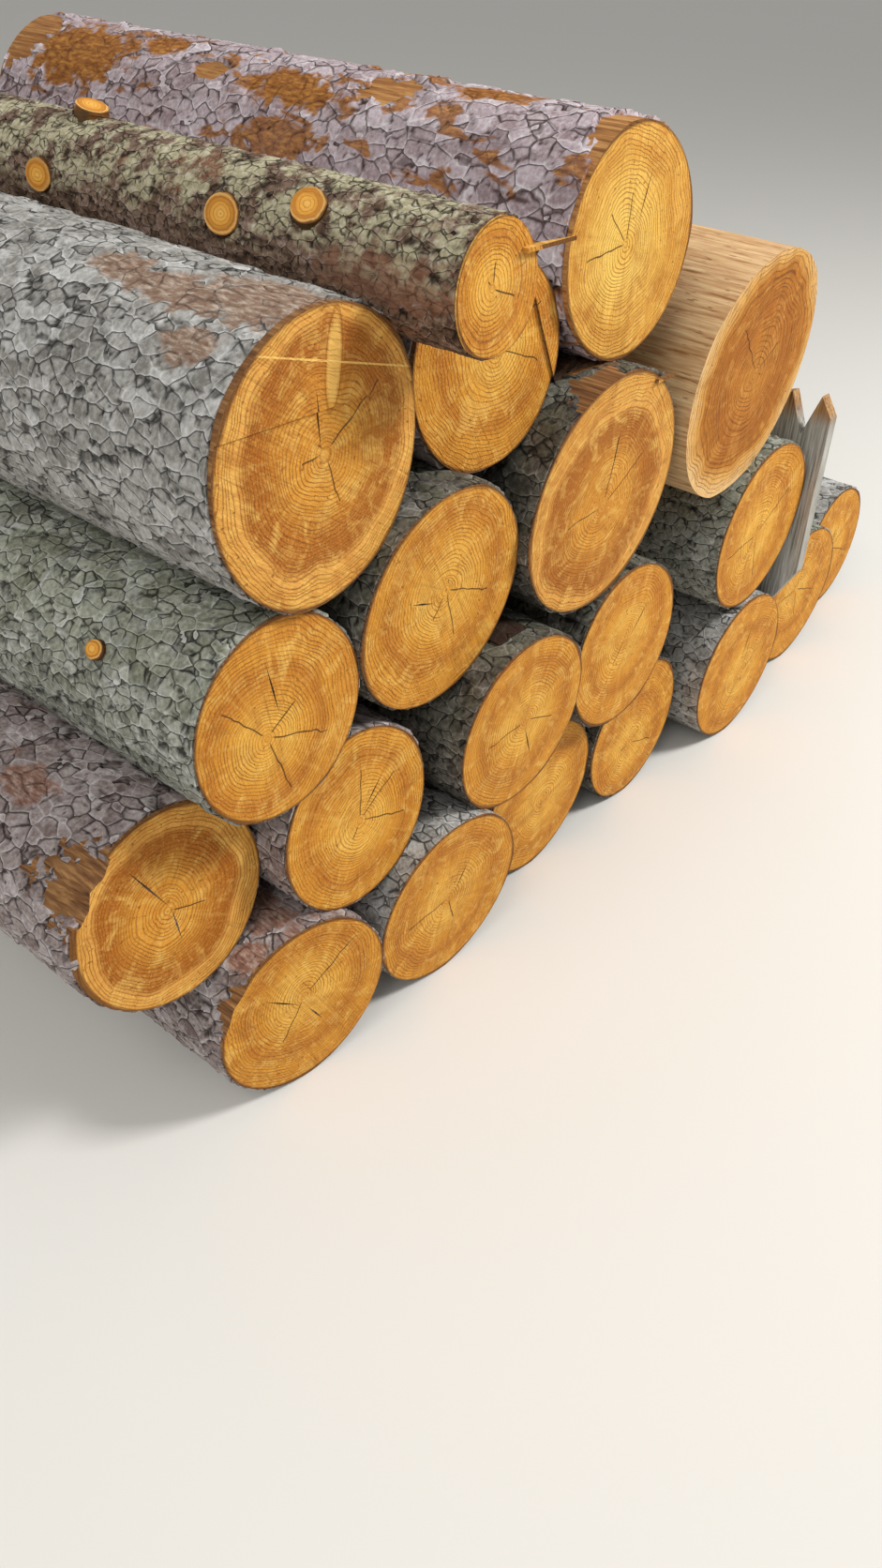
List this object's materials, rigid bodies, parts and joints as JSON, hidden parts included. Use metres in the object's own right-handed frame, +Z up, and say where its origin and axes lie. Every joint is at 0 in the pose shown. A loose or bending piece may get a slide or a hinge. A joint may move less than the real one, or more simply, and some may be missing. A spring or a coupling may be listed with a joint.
{
  "type": "log stack",
  "caption": "Stack of round softwood logs in four rows, sawn ends flush, with one thin pole on top and loose bark between.",
  "frame": {"origin": "middle of the stack's footprint, on the ground", "axes": "+X to the right along the row of sawn ends, +Y along the logs away from those ends, +Z up"},
  "size_m": [2.6167, 2.23, 1.3211],
  "materials": {
    "barked_wood": "rough bark, golden sawn ends",
    "peeled_wood": "peeled, dry",
    "weathered_wood": "weathered grey",
    "loose_bark": "rough bark"
  },
  "bodies": {
    "root": {"bark_chunk": "loose_bark", "bark_peel": "loose_bark", "bark_plate": "loose_bark", "bottom_log_1": "barked_wood", "bottom_log_2": "barked_wood", "bottom_log_3": "barked_wood", "bottom_log_4": "barked_wood", "bottom_log_5": "barked_wood", "bottom_log_6": "barked_wood", "bottom_log_7": "barked_wood", "filler_log_1": "barked_wood", "filler_log_2": "barked_wood", "fourth_log_1": "barked_wood", "fourth_log_2": "barked_wood", "fourth_log_3": "barked_wood", "second_log_1": "barked_wood", "second_log_2": "barked_wood", "second_log_3": "barked_wood", "second_log_4": "barked_wood", "second_log_5": "barked_wood", "third_log_1": "barked_wood", "third_log_2": "barked_wood", "third_log_3": "barked_wood", "third_log_4": "peeled_wood", "top_log": "barked_wood", "weathered_slab": "weathered_wood"}
  },
  "joints": []
}
